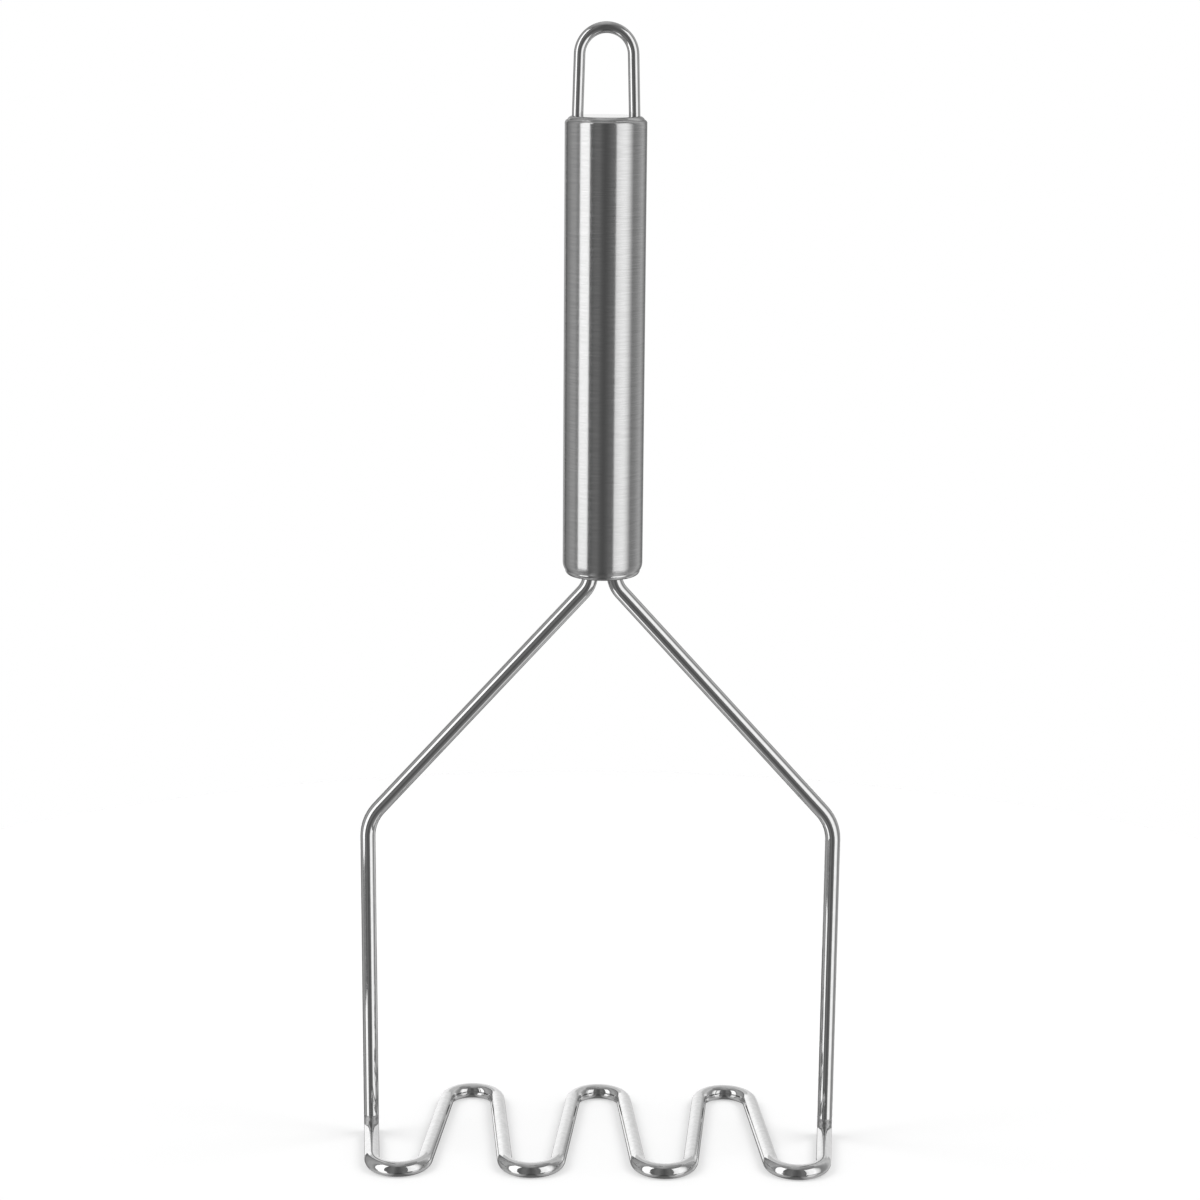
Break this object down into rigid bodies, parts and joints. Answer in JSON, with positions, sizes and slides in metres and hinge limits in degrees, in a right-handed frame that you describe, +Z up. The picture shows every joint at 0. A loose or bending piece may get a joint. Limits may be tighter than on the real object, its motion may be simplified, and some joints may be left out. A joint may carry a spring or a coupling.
{
  "type": "potato masher",
  "caption": "Stainless steel potato masher with a straight round handle, a hanging loop, two bent wire legs and a flat head of wire bent to and fro.",
  "frame": {"origin": "on the floor, below the middle of the handle, in the middle of the head's flat underside", "axes": "+Z up along the handle, X across the head from leg to leg, -Y the front"},
  "size_m": [0.1112, 0.0486, 0.2587],
  "materials": {
    "satin_steel": "satin, brushed round the tube",
    "polished_steel": "polished",
    "wire_steel": "polished bright wire",
    "weld_steel": "dull, heat tinted weld"
  },
  "bodies": {
    "root": {"handle_tube": "satin_steel", "top_cap": "polished_steel", "bottom_cap": "polished_steel", "hanging_loop": "wire_steel", "mashing_head": "wire_steel", "left_leg": "wire_steel", "right_leg": "wire_steel", "left_foot_weld": "weld_steel", "right_foot_weld": "weld_steel", "left_leg_weld": "weld_steel", "right_leg_weld": "weld_steel", "left_loop_weld": "weld_steel", "right_loop_weld": "weld_steel"}
  },
  "joints": []
}
